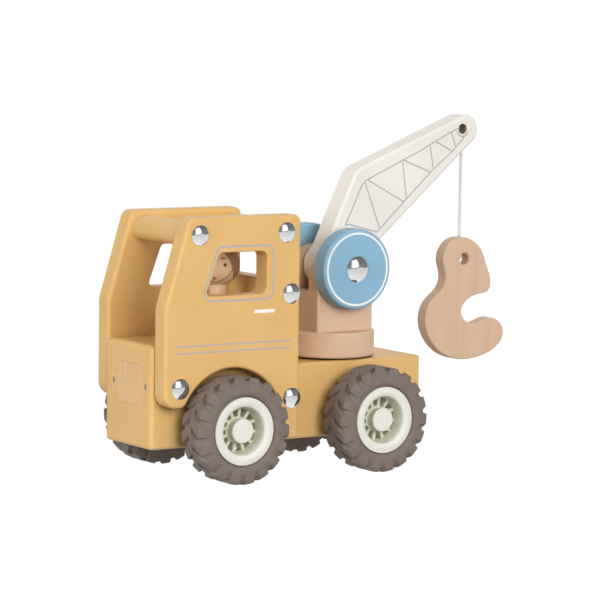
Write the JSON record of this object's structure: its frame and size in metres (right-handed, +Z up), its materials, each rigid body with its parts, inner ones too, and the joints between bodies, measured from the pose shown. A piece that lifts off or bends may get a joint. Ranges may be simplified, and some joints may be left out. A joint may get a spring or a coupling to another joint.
{
  "type": "toy crane truck",
  "caption": "Wooden toy crane truck: open cab with a peg driver, rubber-tyred wheels on turning axles, and a slewing turret whose tilting boom carries a wooden hook on a string",
  "frame": {"origin": "on the ground, under the middle of the bounding box", "axes": "+X is forward, out of the front of the cab; +Y is the truck's left; +Z is up"},
  "size_m": [0.2593, 0.1064, 0.2005],
  "materials": {
    "ochre_paint": "ochre paint, satin, over beech",
    "cream_paint": "cream paint, satin, over beech",
    "blue_paint": "pale blue paint, satin, over beech",
    "natural_beech": "clear-oiled beech",
    "doll_wood": "clear-oiled beech with painted hair and face",
    "tyre_rubber": "grey-brown moulded rubber",
    "rim_plastic": "off-white moulded plastic",
    "chrome": "polished plating",
    "steel": "plain steel",
    "string": "twisted white cotton"
  },
  "bodies": {
    "truck": {"chassis": "ochre_paint", "front_block": "ochre_paint", "block_dowels": "natural_beech", "left_panel": "ochre_paint", "right_panel": "ochre_paint", "front_roof_bar": "ochre_paint", "rear_roof_bar": "ochre_paint", "cab_rear_wall": "ochre_paint", "panel_screws": "chrome", "driver_body": "doll_wood", "driver_head": "doll_wood", "turntable_washer": "steel"},
    "front_wheels": {"front_axle": "steel", "front_left_rim": "rim_plastic", "front_right_rim": "rim_plastic", "front_left_tyre": "tyre_rubber", "front_right_tyre": "tyre_rubber", "front_hub_caps": "rim_plastic", "front_axle_washers": "steel"},
    "rear_wheels": {"rear_axle": "steel", "rear_left_rim": "rim_plastic", "rear_right_rim": "rim_plastic", "rear_left_tyre": "tyre_rubber", "rear_right_tyre": "tyre_rubber", "rear_hub_caps": "rim_plastic", "rear_axle_washers": "steel"},
    "turret": {"turntable": "natural_beech", "post": "natural_beech", "slew_bolt": "steel"},
    "boom": {"boom": "cream_paint", "pivot_axle": "steel", "left_tilt_wheel": "blue_paint", "right_tilt_wheel": "blue_paint", "pivot_domes": "chrome", "boom_knot": "string"},
    "string": {"string": "string"},
    "lower_knot": {"hook_knot": "string"},
    "hook": {"hook": "natural_beech"}
  },
  "joints": [
    {"name": "front_axle_spin", "type": "hinge", "parent": "truck", "child": "front_wheels", "pos_m": [0.0857, 0, 0.03], "axis": [0, 1, 0], "continuous": true},
    {"name": "rear_axle_spin", "type": "hinge", "parent": "truck", "child": "rear_wheels", "pos_m": [-0.0088, 0, 0.03], "axis": [0, 1, 0], "continuous": true},
    {"name": "turret_slew", "type": "hinge", "parent": "truck", "child": "turret", "pos_m": [-0.0039, 0, 0.0628], "axis": [0, 0, 1], "range_deg": [-130, 130]},
    {"name": "boom_tilt", "type": "hinge", "parent": "turret", "child": "boom", "pos_m": [-0.0039, 0, 0.1144], "axis": [0, 1, 0], "range_deg": [-25, 20]},
    {"name": "string_plumb", "type": "hinge", "parent": "boom", "child": "string", "pos_m": [-0.0981, 0, 0.1833], "axis": [0, 1, 0], "range_deg": [-21, 26]},
    {"name": "hook_swing", "type": "hinge", "parent": "string", "child": "lower_knot", "pos_m": [-0.0981, 0, 0.1276], "axis": [0, 1, 0], "range_deg": [-15, 15]},
    {"name": "hook_turn", "type": "hinge", "parent": "lower_knot", "child": "hook", "pos_m": [-0.0981, 0, 0.1276], "axis": [0, 0, 1], "range_deg": [-180, 180]}
  ],
  "couplings": [
    {"joint": "string_plumb", "follows": "boom_tilt", "ratio": -1}
  ]
}
